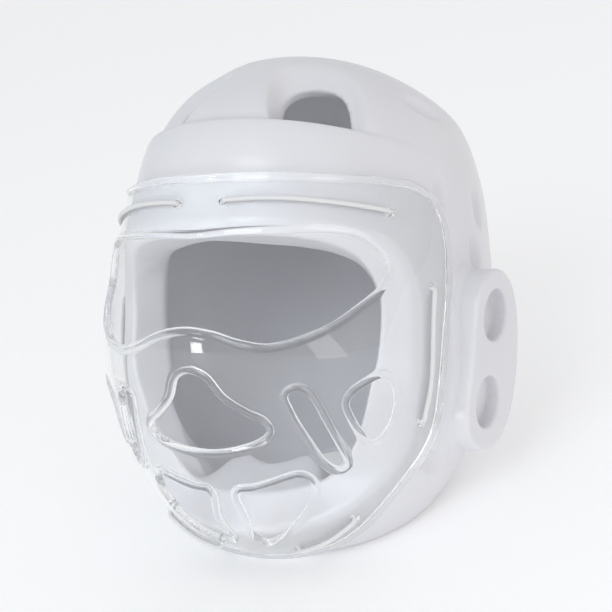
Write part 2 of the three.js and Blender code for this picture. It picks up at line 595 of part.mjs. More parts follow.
function makeMask() {
  const rim = smoothOutline(wholeOutline(MASK_RIM), OUTLINE_POINTS.rim);
  const openings = [
    smoothOutline(wholeOutline(EYE_OPENING), OUTLINE_POINTS.eye),
    smoothOutline(wholeOutline(MOUTH_OPENING), OUTLINE_POINTS.mouth),
  ];
  const pairs = [
    [SLIT_OPENING, OUTLINE_POINTS.slit],
    [LEAF_OPENING, OUTLINE_POINTS.leaf],
    [CHIN_OPENING, OUTLINE_POINTS.chin],
  ];
  pairs.forEach(([rows, count]) => {
    openings.push(smoothOutline(rows, count));
    openings.push(smoothOutline(mirrorOutline(rows), count));
  });
  let mask = eggSolid(shellEgg, SHELL_LEVELS, SHELL_TURNS, MASK_GAP + MASK_WALL);
  mask = mask.subtract(eggSolid(shellEgg, SHELL_LEVELS, SHELL_TURNS, MASK_GAP));
  mask = mask.intersect(sector(rim, MASK_REACH));
  openings.forEach((outline) => {
    mask = mask.subtract(sector(outline, MASK_REACH));
  });
  [rim].concat(openings).forEach((outline) => {
    mask = mask.add(bead(outline));
  });
  laceHoles.forEach((hole) => {
    mask = mask.subtract(hole);
  });
  return mask;
}

// Rest the part on its neck rim and cut the rim flat at the floor.
const rest = new THREE.Matrix4().makeTranslation(0, SHIFT_Y, FLOOR_DROP)
  .multiply(new THREE.Matrix4().makeRotationX(-rad(PITCH_BACK)));
const floorBlock = toSolid(new THREE.BoxGeometry(FLOOR_BLOCK, FLOOR_BLOCK, FLOOR_BLOCK)
  .translate(0, 0, -FLOOR_BLOCK / 2));

function rested(solid) {
  return toSolid(toGeometry(solid).applyMatrix4(rest));
}

const headgear = new THREE.Group();
headgear.name = 'karate_headgear';

function addPiece(name, solid, material) {
  const geometry = toGeometry(solid).toNonIndexed();
  geometry.computeVertexNormals();
  const mesh = new THREE.Mesh(geometry, material);
  mesh.name = name;
  headgear.add(mesh);
}

const foam = new THREE.MeshStandardMaterial({ color: COLOURS.foam, roughness: 0.35, metalness: 0 });
const clear = new THREE.MeshStandardMaterial({
  color: COLOURS.clear, roughness: 0.05, metalness: 0, transparent: true, opacity: 0.3,
});
const laceWhite = new THREE.MeshStandardMaterial({ color: COLOURS.lace, roughness: 0.8, metalness: 0 });

addPiece('foam_shell', rested(makeShell()).subtract(floorBlock), foam);
addPiece('ear_pad_left', rested(earPad(1)), foam);
addPiece('ear_pad_right', rested(earPad(-1)), foam);
addPiece('face_mask', rested(makeMask()), clear);
Object.entries(laces).forEach(([name, lace]) => {
  addPiece(name, rested(cord(lace.line, LACE_RADIUS, LACE_SIDES)), laceWhite);
});

export default headgear;
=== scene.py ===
"""Looks of the karate headgear: foam shell, ear pads, clear face mask and laces.

Shapes are drawn in millimetres on the upright, worn headgear: +X to the wearer's left, +Y to the back, +Z up.
The function rested turns them into metres of the CAD frame, where the headgear lies back on its neck rim.
"""

import math

import bmesh
import bpy
import numpy as np
import openvdb
from mathutils import Matrix, Vector
from mathutils.geometry import delaunay_2d_cdt


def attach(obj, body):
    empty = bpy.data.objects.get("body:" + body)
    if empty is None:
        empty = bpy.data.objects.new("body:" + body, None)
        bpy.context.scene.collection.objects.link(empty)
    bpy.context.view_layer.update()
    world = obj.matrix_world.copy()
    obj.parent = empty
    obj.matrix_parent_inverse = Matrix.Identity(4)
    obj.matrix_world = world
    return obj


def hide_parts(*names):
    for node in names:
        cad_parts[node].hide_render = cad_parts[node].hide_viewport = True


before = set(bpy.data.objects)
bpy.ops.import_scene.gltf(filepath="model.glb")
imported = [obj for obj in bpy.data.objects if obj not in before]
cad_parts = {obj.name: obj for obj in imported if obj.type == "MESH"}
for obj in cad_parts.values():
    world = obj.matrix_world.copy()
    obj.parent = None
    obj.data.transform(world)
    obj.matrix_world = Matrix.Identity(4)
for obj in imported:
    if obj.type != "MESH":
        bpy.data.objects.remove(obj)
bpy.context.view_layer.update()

MM = 0.001

# Resting pose: pitch back about X, then the lift and shift that put the neck rim on the floor.
PITCH_BACK = math.radians(38)
FLOOR_DROP = 104.0
SHIFT_Y = -0.678

# Level sections of the shell's outside: level, half width, reach to the front and to the back.
SHELL_ROWS = [
    (-140.2, 0, 0, 0), (-130, 47.5, 53.8, 52.2), (-100, 78.8, 81.3, 75.5), (-70, 92.9, 107.3, 92.6),
    (-35, 99.5, 125.4, 101.9), (0, 100.8, 126.2, 106.5), (35, 97.3, 122.2, 107.7), (48, 94.9, 121.9, 107.2),
    (56, 93.4, 122.6, 106.7), (77, 89.1, 118.8, 102.5), (79, 88.6, 114.2, 101.8), (85, 86.9, 111.4, 99.6),
    (110, 76.8, 91.2, 82.6), (130, 50.6, 63.4, 60.8), (141.1, 0, 0, 0),
]
# Level sections of the head hollow, with the squareness of their front: 2 is an ellipse, more is squarer,
# and less leaves thicker cheeks.
CAVITY_ROWS = [
    (-126, 0, 0, 0, 3), (-118, 34, 12, 42, 3), (-94, 66, 16, 68, 3), (-82, 72, 24, 75, 2.8),
    (-70, 77, 44, 80.5, 2.2), (-42, 82.5, 80, 88, 1.5), (-25, 84.3, 95, 91, 1.45), (0, 85, 109.5, 93.5, 1.45),
    (35, 81.5, 105.5, 93, 1.6), (56, 77.5, 104.5, 91, 1.9), (79, 72.5, 97, 85.5, 2.11),
    (100, 61.5, 79.5, 71, 2.11), (117, 40, 51.5, 48, 2.11), (125, 0, 0, 0, 2.11),
]
SQUARENESS = 2.11
LEDGE_Z = 78.0
LEDGE_HALF = 1.0

# Outlines are angles in degrees seen from a point inside the head: across to the wearer's left, and up,
# from an axis that leaves forward and 20 degrees down.
EYE_POINT = np.array([0.0, 0.0, -20.0])
AXIS_DOWN = math.radians(20)

# Face opening of the foam, from the brow's middle to the chin's: outer line of the lip on the skin (angles),
# front edge (angles, millimetres under the skin) and inner edge (point).
FACE_ROWS = [
    ((0, 37.2), (0, 35.5, 6), (0, -103, 12.5)),
    ((27, 38), (27, 35.8, 6), (27, -97, 13.5)),
    ((40, 38.6), (37, 35, 7), (41, -86, 14.5)),
    ((49.5, 37.4), (45, 32.3, 8), (53, -73, 14)),
    ((56, 32.6), (50, 27, 9), (62, -59.5, 10.5)),
    ((60.4, 26), (52.6, 21, 9.5), (67, -49.5, 0)),
    ((62.8, 17.5), (53.2, 14.5, 10), (68.2, -43.5, -13)),
    ((63, 5.7), (52.2, 5, 10), (66.6, -39.5, -29)),
    ((60.6, -8.5), (49, -7, 11), (62.8, -36.2, -52)),
    ((54.5, -27.5), (43.5, -22.5, 13), (54.5, -33.6, -79)),
    ((47, -36.2), (37, -32, 15), (44.5, -31.5, -92)),
    ((38, -40.8), (29, -37, 17), (37.8, -29.9, -100)),
    ((30, -43.6), (22, -39, 18), (29, -26.2, -90)),
    ((20, -44.9), (15, -39.6, 18.5), (20.1, -23.4, -85)),
    ((10, -45.4), (7, -40, 19), (9, -26.5, -89)),
    ((0, -45.6), (0, -40, 19), (0, -29.1, -91)),
]
LIP_BRIM = 30.0
OPENING_BACK = 35.0
OPENING_FRONT = 190.0

MASK_RIM = [
    (0, 47.3), (12, 47.8), (22, 48.6), (32, 50.1), (47, 54), (55, 55.8), (61, 55.3), (66, 52), (70.2, 46),
    (73, 38), (74.5, 21), (73.2, 4.3), (70.5, -8.6), (65.5, -25), (59.5, -33), (51.3, -39.7), (39.5, -47.8),
    (31, -53), (20, -57.2), (0, -60),
]
EYE_OPENING = [
    (0, 34.3), (12, 35.1), (24, 36.2), (34, 37.5), (42, 37), (48.4, 33.3), (51.2, 27.5), (48.8, 22.6),
    (41.8, 16.4), (35.2, 11.9), (27, 8.7), (20, 7.6), (13.5, 8.8), (7, 10.9), (0, 11.8),
]
MOUTH_OPENING = [
    (0, 3.2), (4.2, 1.6), (7.8, -4), (12.7, -8), (16.9, -10.6), (18.2, -13.6), (16.6, -16), (11.6, -18.3),
    (0, -20.2),
]
SLIT_OPENING = [
    (24.6, -2.7), (27, -2.6), (29.2, -4.4), (32.2, -12), (35.4, -24), (35.6, -27.8), (33.2, -29), (30, -26.3),
    (26.6, -17.5), (23.3, -7.8), (22.8, -4.6),
]
LEAF_OPENING = [
    (48.2, -2.3), (43.6, -3.6), (39.3, -6), (37.6, -9), (38.5, -13.5), (40.6, -19.4), (42.6, -23.2),
    (45.7, -22.9), (49.9, -19.1), (52.7, -11.8), (52.3, -6.2), (50.6, -3.3),
]
CHIN_OPENING = [
    (22, -27.9), (15.4, -29.3), (9.6, -30.6), (4.4, -31.2), (3.3, -33), (4.2, -39), (3.6, -46.6), (6, -49.4),
    (12.3, -46.6), (19.4, -41.3), (24, -36.6), (25.7, -32.4), (24.8, -29.2),
]
# Mask: gap to the foam, wall, and the round bead that edges it.
MASK_GAP = 0.8
MASK_WALL = 2.6
BEAD_RADIUS = 2.2
BEAD_LIFT = 2.5
SHEET_MARGIN = 5.0
SHEET_STEP = 2.0
OUTLINE_STEP = 0.9
WELD_DISTANCE = 0.02

# Laces on the mask's outside. Their ends turn in and go through holes in the mask.
LACE_RADIUS = 1.3
LACE_GAP = 0.1
LACE_TURN_IN = 2.6
LACE_DEPTH = 2.4
LACE_HOLE_RADIUS = 2.4
LACE_STEPS = 60
LACE_SIDES = 14
LACES = {
    "brow": [(7.7, 42.3), (19, 43.3), (33, 44.2), (47.4, 45.4)],
    "side": [(67, 22.5), (66.4, 6), (64, -10), (60.2, -20.6)],
    "chin": [(31, -47.2), (23, -51.2), (14.5, -54)],
}

# Crown vents, seen from the front (left, up): the hood's edge on the skin, and the hole at the bottom of the
# hood. Both stand on the ledge. The rows match one by one.
VENT_HOOD = [
    (27, 78.4), (23, 87), (18.6, 96), (13.8, 105.5), (11.2, 114.5), (13, 122.5), (20, 128), (33, 129.5),
    (44.5, 124), (57.4, 111.4), (63.8, 101.3), (68.5, 90.6), (72, 78.4),
]
VENT_HOLE = [
    (26, 78.4), (24, 87), (23, 92.5), (23.2, 97), (25, 100.6), (28.4, 103), (33, 104.2), (37.5, 104.2),
    (42, 103.2), (46.6, 100.4), (50.6, 95.5), (54.4, 88), (57.6, 78.4),
]
VENT_DEPTH = 13.0
VENT_CLEAR = 0.3
VENT_FROM_Y = -170.0
VENT_TO_Y = -20.0

# Oval dimples in the foam: turn from the front, level, half length round the head, half height.
DIMPLES = [(69, 107, 14, 5.5), (72, 55, 5.5, 11), (100, 61, 5.5, 11), (93, 31, 6.5, 11), (86, -86, 11, 5.5)]
DIMPLE_DEPTH = 4.0
DIMPLE_DOME = 7.0
DIMPLE_SPREAD = 1.2

# Ear pad: outline seen from the side (back, up), outer face, rounding, and its two round pockets.
EAR_OUTLINE = [
    (-17.5, 13), (-22.5, 2), (-20.5, -14), (-16, -32), (-12, -50), (-9.5, -62), (-3.5, -71), (6, -75.5),
    (19, -75.5), (31, -70), (40, -58), (42.5, -41), (38.5, -19), (29, 1), (19.5, 12.5), (10, 18.5),
    (-1, 20.5), (-11, 18.5),
]
EAR_FACE_X = 115.5
EAR_FACE_LEAN = 0.12
EAR_ROOT_X = 70.0
EAR_CENTRE = (10.0, -28.0)
EAR_ROUND = 2.2
EAR_FILLET = 8.0
EAR_COLLAR = 6.0
EAR_POCKETS = [(1, -4), (11.5, -50)]
EAR_POCKET_RADIUS = 14.0
EAR_POCKET_DEPTH = 12.5
EAR_POCKET_ROUND = 2.0
# Rings of a pocket: part of its radius, and millimetres above its bottom.
EAR_POCKET_FLOOR = [(0.6, 0), (0.86, 1.6), (0.97, 5)]
EAR_POCKET_RISE = 8.0
EAR_SEAT = 1.5
EAR_ROOT_GAP = 0.5

# Grid steps of the distance fields, and the band in which distances are kept.
SHELL_STEP = 1.25
EAR_STEP = 0.8
FIELD_BAND = 24.0
# Edge roundings of the foam.
FACE_ROUND = 3.5
HOLLOW_ROUND = 4.0
HOOD_ROUND = 1.5
DIMPLE_ROUND = 3.0
RIM_ROUND = 3.0


def rested(points):
    """Upright millimetres to metres of the CAD frame."""
    p = np.asarray(points, float)
    y = p[..., 1] * math.cos(PITCH_BACK) + p[..., 2] * math.sin(PITCH_BACK) + SHIFT_Y
    z = -p[..., 1] * math.sin(PITCH_BACK) + p[..., 2] * math.cos(PITCH_BACK) + FLOOR_DROP
    return np.stack([p[..., 0], y, z], -1) * MM


def turned(vectors):
    """Upright directions to directions of the CAD frame."""
    return (rested(vectors) - rested(np.zeros(3))) / MM


# Eggs: rounded level sections that follow a table of rows.
def make_curve(levels, sizes):
    """Monotone cubic through the squared half sizes, so that the poles close round."""
    z = np.asarray(levels, float)
    v = np.asarray(sizes, float) ** 2
    step = np.diff(z)
    slope = np.diff(v) / step
    lean = np.empty_like(v)
    lean[0], lean[-1] = slope[0], slope[-1]
    a = 2 * step[1:] + step[:-1]
    b = step[1:] + 2 * step[:-1]
    same = slope[:-1] * slope[1:] > 0
    safe = np.where(same, slope[:-1], 1.0), np.where(same, slope[1:], 1.0)
    lean[1:-1] = np.where(same, (a + b) / (a / safe[0] + b / safe[1]), 0.0)

    def curve(level):
        level = np.clip(np.asarray(level, float), z[0], z[-1])
        i = np.clip(np.searchsorted(z, level, side="right") - 1, 0, len(step) - 1)
        t = (level - z[i]) / step[i]
        keep = (1 + 2 * t) * (1 - t) ** 2 * v[i] + t * t * (3 - 2 * t) * v[i + 1]
        bend = step[i] * t * (1 - t) * ((1 - t) * lean[i] - t * lean[i + 1])
        return np.sqrt(np.maximum(keep + bend, 0.0))

    return curve


class Egg:
    """Closed rounded form given by level sections."""

    def __init__(self, rows):
        full = [tuple(row) + (SQUARENESS,) * (5 - len(row)) for row in rows]
        levels, wide, front, back, square = zip(*full)
        self.low, self.high = levels[0], levels[-1]
        self.levels, self.square = levels, square
        self.wide = make_curve(levels, wide)
        self.front = make_curve(levels, front)
        self.back = make_curve(levels, back)

    def radius(self, turn, z):
        ahead = np.cos(turn) > 0
        power = np.where(ahead, np.interp(z, self.levels, self.square), SQUARENESS)
        reach = np.maximum(np.where(ahead, self.front(z), self.back(z)), 1e-6)
        side = (np.abs(np.sin(turn)) / np.maximum(self.wide(z), 1e-6)) ** power
        fore = (np.abs(np.cos(turn)) / reach) ** power
        return (side + fore) ** (-1 / power)

    def point(self, turn, z):
        r = self.radius(turn, z)
        return np.stack([r * np.sin(turn), -r * np.cos(turn), np.broadcast_to(z, r.shape)], -1)

    def front_at(self, x, z):
        """Y of the front at a place seen from the front."""
        part = np.clip(np.abs(x) / np.maximum(self.wide(z), 1e-6), 0, 1) ** SQUARENESS
        return -self.front(z) * (1 - part) ** (1 / SQUARENESS)

    def normal(self, turn, z):
        bit_turn, bit_z = 0.002, 0.05
        around = self.point(turn + bit_turn, z) - self.point(turn - bit_turn, z)
        rise = self.point(turn, z + bit_z) - self.point(turn, z - bit_z)
        out = np.cross(around, rise)
        return out / np.linalg.norm(out, axis=-1, keepdims=True)


shell_egg = Egg(SHELL_ROWS)
cavity_egg = Egg(CAVITY_ROWS)


# Outlines on the skin
def direction(outline):
    """Unit directions of outline angles."""
    o = np.asarray(outline, float)
    away_deg = np.maximum(np.hypot(o[..., 0], o[..., 1]), 1e-9)
    away = np.radians(away_deg)
    side = np.sin(away) * o[..., 0] / away_deg
    rise = np.sin(away) * o[..., 1] / away_deg
    ahead = np.cos(away)
    y = -ahead * math.cos(AXIS_DOWN) - rise * math.sin(AXIS_DOWN)
    z = -ahead * math.sin(AXIS_DOWN) + rise * math.cos(AXIS_DOWN)
    return np.stack([side, y, z], -1)


def angles(points):
    """Outline angles of points: the inverse of direction."""
    d = np.asarray(points, float) - EYE_POINT
    d = d / np.linalg.norm(d, axis=-1, keepdims=True)
    ahead = -d[..., 1] * math.cos(AXIS_DOWN) - d[..., 2] * math.sin(AXIS_DOWN)
    rise = -d[..., 1] * math.sin(AXIS_DOWN) + d[..., 2] * math.cos(AXIS_DOWN)
    away = np.degrees(np.arccos(np.clip(ahead, -1, 1)))
    size = np.maximum(np.hypot(d[..., 0], rise), 1e-12)
    return np.stack([away * d[..., 0] / size, away * rise / size], -1)


def skin(outline):
    """Points and normals on the shell's skin in the directions of an outline."""
    ray = direction(outline)
    near = np.full(ray.shape[:-1], 10.0)
    far = np.full(ray.shape[:-1], 240.0)
    for _ in range(46):
        mid = (near + far) / 2
        p = EYE_POINT + ray * mid[..., None]
        turn = np.arctan2(p[..., 0], -p[..., 1])
        level = p[..., 2]
        inside = np.hypot(p[..., 0], p[..., 1]) < shell_egg.radius(turn, level)
        inside &= (level > shell_egg.low) & (level < shell_egg.high)
        near = np.where(inside, mid, near)
        far = np.where(inside, far, mid)
    p = EYE_POINT + ray * near[..., None]
    turn = np.arctan2(p[..., 0], -p[..., 1])
    return p, shell_egg.normal(turn, p[..., 2])


def lifted(outline, lift):
    at, normal = skin(outline)
    return at + normal * np.asarray(lift, float)[..., None]


def mirrored(rows):
    return [(-row[0],) + tuple(row[1:]) for row in reversed(rows)]


def whole(half):
    """Full outline from its left half, which starts and ends on the middle plane."""
    return list(half) + mirrored(half[1:-1])


def catmull(knots, closed, per_span=24):
    """Dense centripetal spline through knots."""
    k = np.asarray(knots, float)
    if closed:
        k = np.concatenate([k[-1:], k, k[:2]])
    else:
        k = np.concatenate([2 * k[:1] - k[1:2], k, 2 * k[-1:] - k[-2:-1]])
    out = []
    for p0, p1, p2, p3 in zip(k, k[1:], k[2:], k[3:]):
        t0 = 0.0
        t1 = t0 + np.linalg.norm(p1 - p0) ** 0.5
        t2 = t1 + np.linalg.norm(p2 - p1) ** 0.5
        t3 = t2 + np.linalg.norm(p3 - p2) ** 0.5
        t = np.linspace(t1, t2, per_span, endpoint=False)[:, None]
        a1 = (t1 - t) / (t1 - t0) * p0 + (t - t0) / (t1 - t0) * p1
        a2 = (t2 - t) / (t2 - t1) * p1 + (t - t1) / (t2 - t1) * p2
        a3 = (t3 - t) / (t3 - t2) * p2 + (t - t2) / (t3 - t2) * p3
        b1 = (t2 - t) / (t2 - t0) * a1 + (t - t0) / (t2 - t0) * a2
        b2 = (t3 - t) / (t3 - t1) * a2 + (t - t1) / (t3 - t1) * a3
        out.append((t2 - t) / (t2 - t1) * b1 + (t - t1) / (t2 - t1) * b2)
    if not closed:
        out.append(k[-2:-1])
    return np.concatenate(out)


def even(line, count, closed):
    """Evenly spaced points along a dense line."""
    p = np.concatenate([line, line[:1]]) if closed else line
    length = np.concatenate([[0.0], np.cumsum(np.linalg.norm(np.diff(p, axis=0), axis=1))])
    at = np.linspace(0.0, length[-1], count + 1 if closed else count)
    points = np.stack([np.interp(at, length, p[:, i]) for i in range(p.shape[1])], -1)
    return points[:-1] if closed else points


def counter_clockwise(outline):
    following = np.roll(outline, -1, 0)
    area = (outline[:, 0] * following[:, 1] - outline[:, 1] * following[:, 0]).sum()
    return outline if area > 0 else outline[::-1]


def smooth_outline(rows):
    """Closed smooth outline, counter-clockwise seen from the front."""
    dense = catmull(rows, True)
    length = np.linalg.norm(np.diff(dense, axis=0, append=dense[:1]), axis=1).sum()
    return counter_clockwise(even(dense, int(length / OUTLINE_STEP), True))


# Closed meshes for the distance fields
def loft(rings):
    """Triangles of a closed loft through rings of equal length, with fans over both ends."""
    rings = np.asarray(rings, float)
    rows, turns = rings.shape[:2]
    points = np.concatenate([rings.reshape(-1, 3), rings[0].mean(0)[None], rings[-1].mean(0)[None]])
    index = np.arange(rows * turns).reshape(rows, turns)
    following = np.roll(index, -1, 1)
    a, b, c, d = index[:-1], following[:-1], following[1:], index[1:]
    sides = np.concatenate([np.stack([a, b, c], -1).reshape(-1, 3), np.stack([a, c, d], -1).reshape(-1, 3)])
    first, last = rows * turns, rows * turns + 1
    start = np.stack([following[0], index[0], np.full(turns, first)], -1)
    end = np.stack([index[-1], following[-1], np.full(turns, last)], -1)
    return points, np.concatenate([sides, start, end])


def egg_mesh(egg, levels=160, turns=180):
    part = (1 - np.cos(np.linspace(0.02, math.pi - 0.02, levels))) / 2
    z = egg.low + (egg.high - egg.low) * part
    ledge = [LEDGE_Z - LEDGE_HALF, LEDGE_Z + LEDGE_HALF] if egg is shell_egg else []
    z = np.unique(np.concatenate([z, ledge]))
    turn = np.linspace(0, 2 * math.pi, turns, endpoint=False)
    return loft([egg.point(turn, np.full(turns, level)) for level in z])


def face_mesh():
    """Cutter of the face opening: straight forward to the inner edge, the wall to the front edge, then the
    slope of the lip and a brim outside it."""
    lip = catmull(whole([row[0] for row in FACE_ROWS]), True)
    edge = catmull(whole([row[1] for row in FACE_ROWS]), True)
    inner = catmull(whole([row[2] for row in FACE_ROWS]), True)
    edge_at = lifted(edge[:, :2], -edge[:, 2])
    lip_at, lip_normal = skin(lip)
    behind = inner + np.array([0, OPENING_BACK, 0])
    rings = [EYE_POINT + (behind - EYE_POINT) * part for part in (0.05, 0.5, 1.0)]
    rings += [inner, edge_at, lip_at, lip_at + lip_normal * LIP_BRIM]
    front = EYE_POINT + direction(np.zeros(2)) * OPENING_FRONT
    outer = rings[-1]
    rings += [outer + (front - outer) * part for part in (0.4, 0.7, 0.98)]
    return loft([ring[::-1] for ring in rings])


def vent_mesh(side):
    """Hood and hole of a crown vent: the hood's wall runs back from its edge on the skin to the hole."""
    def full(rows):
        arch = catmull(rows, False, 8)
        base = np.linspace(arch[-1], arch[0], 40)[1:-1]
        return np.concatenate([arch, base])

    hood, hole = full(VENT_HOOD), full(VENT_HOLE)
    rings = [np.stack([hood[:, 0], np.full(len(hood), VENT_FROM_Y), hood[:, 1]], -1)]
    for part in np.linspace(0, 1, 12):
        flat = hood + (hole - hood) * part
        deep = VENT_DEPTH * part * part * (3 - 2 * part) - VENT_CLEAR * (1 - part)
        y = shell_egg.front_at(flat[:, 0], flat[:, 1]) + deep
        rings.append(np.stack([flat[:, 0], y, flat[:, 1]], -1))
    rings.append(np.stack([hole[:, 0], np.full(len(hole), VENT_TO_Y), hole[:, 1]], -1))
    rings = np.array(rings)
    if side > 0:
        return loft(rings)
    rings[..., 0] *= -1
    return loft(rings[:, ::-1])


def dimple_mesh(row, side):
    turn_deg, z, long, tall = row
    turn = np.array(math.radians(turn_deg) * side)
    at = shell_egg.point(turn, np.array(z, float))
    out = shell_egg.normal(turn, np.array(z, float))
    around = np.array([math.cos(turn), math.sin(turn), 0.0])
    around -= out * (around @ out)
    around /= np.linalg.norm(around)
    up = np.cross(out, around)
    centre = at + out * (DIMPLE_DOME - DIMPLE_DEPTH)
    turns = np.linspace(0, 2 * math.pi, 32, endpoint=False)
    rings = []
    for rise in np.linspace(-0.49, 0.49, 17) * math.pi:
        flat = math.cos(rise)
        arm = around * (np.cos(turns) * long)[:, None] + up * (np.sin(turns) * tall)[:, None]
        rings.append(centre + arm * (flat * DIMPLE_SPREAD) + out * (math.sin(rise) * DIMPLE_DOME))
    return loft(rings)


def ear_ring(x_back, inset, side, count=120):
    outline = even(catmull(EAR_OUTLINE, True), count, True)
    centre = np.array(EAR_CENTRE)
    arm = outline - centre
    away = np.linalg.norm(arm, axis=1, keepdims=True)
    flat = centre + arm * (away - inset) / away
    x = EAR_FACE_X + EAR_FACE_LEAN * flat[:, 1] - x_back
    return np.stack([side * x, flat[:, 0], flat[:, 1]], -1)


def ear_mesh(side):
    """Ear pad without its pockets, smaller all round by the rounding that is added to its distances."""
    deep = EAR_FACE_X - EAR_ROOT_X
    return loft([ear_ring(deep, EAR_ROUND, side), ear_ring(EAR_ROUND, EAR_ROUND, side)])


def pocket_mesh(pocket, side, turns=48):
    rings = []
    rows = [(part, EAR_POCKET_DEPTH - rise) for part, rise in EAR_POCKET_FLOOR]
    a = np.linspace(0, 2 * math.pi, turns, endpoint=False)
    for part, back in rows + [(1, 0), (1, -EAR_POCKET_RISE)]:
        r = EAR_POCKET_RADIUS * part
        z = pocket[1] + r * np.sin(a)
        x = EAR_FACE_X + EAR_FACE_LEAN * z - back
        rings.append(np.stack([side * x, pocket[0] + r * np.cos(a), z], -1))
    return loft(rings)


# Distance fields on a grid
class Grid:
    """Regular grid of points in a box, on which distances to closed meshes are kept."""

    def __init__(self, low, high, step):
        self.step = step
        self.first = np.floor(np.asarray(low) / step).astype(int)
        self.shape = tuple(np.ceil(np.asarray(high) / step).astype(int) - self.first + 1)

    def coordinates(self):
        axes = [(self.first[i] + np.arange(self.shape[i])) * self.step for i in range(3)]
        return np.meshgrid(*axes, indexing="ij", sparse=True)

    def distance(self, mesh):
        """Signed distance to a closed mesh, negative inside."""
        points, triangles = mesh
        transform = openvdb.createLinearTransform(voxelSize=self.step)
        level_set = openvdb.FloatGrid.createLevelSetFromPolygons(
            points.astype(np.float32), triangles=triangles.astype(np.uint32),
            transform=transform, halfWidth=FIELD_BAND / self.step)
        field = np.empty(self.shape, np.float32)
        level_set.copyToArray(field, ijk=tuple(int(i) for i in self.first))
        return field

    def surface(self, field):
        """Points and four-sided faces of the surface where the field is zero."""
        level_set = openvdb.FloatGrid(FIELD_BAND)
        level_set.transform = openvdb.createLinearTransform(voxelSize=self.step)
        values = np.ascontiguousarray(field, np.float32)
        level_set.copyFromArray(values, ijk=tuple(int(i) for i in self.first))
        points, quads = level_set.convertToQuads(isovalue=0.0)
        points = np.asarray(points, float)
        for _ in range(3):
            points = self.settled(points, field)
        return points, np.asarray(quads)[:, ::-1]

    def sample(self, field, points):
        """Field values and slopes at points, between grid points by linear steps."""
        at = points / self.step - self.first
        base = np.clip(np.floor(at).astype(int), 0, np.asarray(self.shape) - 2)
        t = np.clip(at - base, 0, 1)
        value = np.zeros(len(points))
        slope = np.zeros((len(points), 3))
        for corner in np.ndindex(2, 2, 2):
            c = np.asarray(corner)
            v = field[tuple((base + c).T)]
            w = np.where(c, t, 1 - t)
            value += v * w.prod(1)
            for i in range(3):
                rest = np.delete(w, i, 1).prod(1)
                slope[:, i] += v * rest * (1 if c[i] else -1) / self.step
        return value, slope

    def settled(self, points, field):
        """Points moved onto the surface."""
        value, slope = self.sample(field, points)
        size = np.maximum((slope ** 2).sum(1), 0.05)
        move = np.clip(value / size, -self.step, self.step)
        return points - slope * move[:, None]


def cut(field, cutter, rounding):
    """Field less a cutter, with rounded edges."""
    return common(field, -cutter, rounding)


def common(a, b, rounding):
    blend = np.maximum(rounding - np.abs(a - b), 0.0) / rounding
    return np.maximum(a, b) + blend * blend * rounding / 4


def joined(a, b, rounding):
    return -common(-a, -b, rounding)


# Meshes and objects
def make_object(name, points, faces, material):
    mesh = bpy.data.meshes.new(name)
    mesh.from_pydata(rested(points).tolist(), [], [list(map(int, f)) for f in faces])
    mesh.validate()
    mesh.shade_smooth()
    mesh.materials.append(material)
    obj = bpy.data.objects.new(name, mesh)
    bpy.context.scene.collection.objects.link(obj)
    return obj


def finish_piece(obj, node):
    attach(obj, "root")
    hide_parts(node)


# Materials
def new_material(name):
    material = bpy.data.materials.new(name)
    material.use_nodes = True
    nodes = material.node_tree.nodes
    return material, nodes, material.node_tree.links, nodes["Principled BSDF"]


def add_noise(nodes, links, coordinates, scale, detail):
    noise = nodes.new("ShaderNodeTexNoise")
    noise.inputs["Scale"].default_value = scale
    noise.inputs["Detail"].default_value = detail
    links.new(coordinates.outputs["Object"], noise.inputs["Vector"])
    return noise


def add_range(nodes, links, source, low, high):
    spread = nodes.new("ShaderNodeMapRange")
    spread.inputs["To Min"].default_value = low
    spread.inputs["To Max"].default_value = high
    links.new(source, spread.inputs["Value"])
    return spread.outputs["Result"]


def foam_material():
    """White dipped skin over foam: satin, with a faint orange peel and slow changes of tone."""
    material, nodes, links, shader = new_material("foam_skin")
    coordinates = nodes.new("ShaderNodeTexCoord")
    slow = add_noise(nodes, links, coordinates, 14.0, 3.0)
    ramp = nodes.new("ShaderNodeValToRGB")
    ramp.color_ramp.elements[0].position = 0.3
    ramp.color_ramp.elements[0].color = (0.70, 0.70, 0.73, 1)
    ramp.color_ramp.elements[1].position = 0.7
    ramp.color_ramp.elements[1].color = (0.74, 0.74, 0.77, 1)
    links.new(slow.outputs["Fac"], ramp.inputs["Fac"])
    links.new(ramp.outputs["Color"], shader.inputs["Base Color"])
    patch = add_noise(nodes, links, coordinates, 45.0, 2.0)
    links.new(add_range(nodes, links, patch.outputs["Fac"], 0.30, 0.40), shader.inputs["Roughness"])
    peel = add_noise(nodes, links, coordinates, 420.0, 3.0)
    bump = nodes.new("ShaderNodeBump")
    bump.inputs["Strength"].default_value = 0.05
    bump.inputs["Distance"].default_value = 0.0004
    links.new(peel.outputs["Fac"], bump.inputs["Height"])
    links.new(bump.outputs["Normal"], shader.inputs["Normal"])
    shader.inputs["Coat Weight"].default_value = 0.25
    shader.inputs["Coat Roughness"].default_value = 0.18
    return material


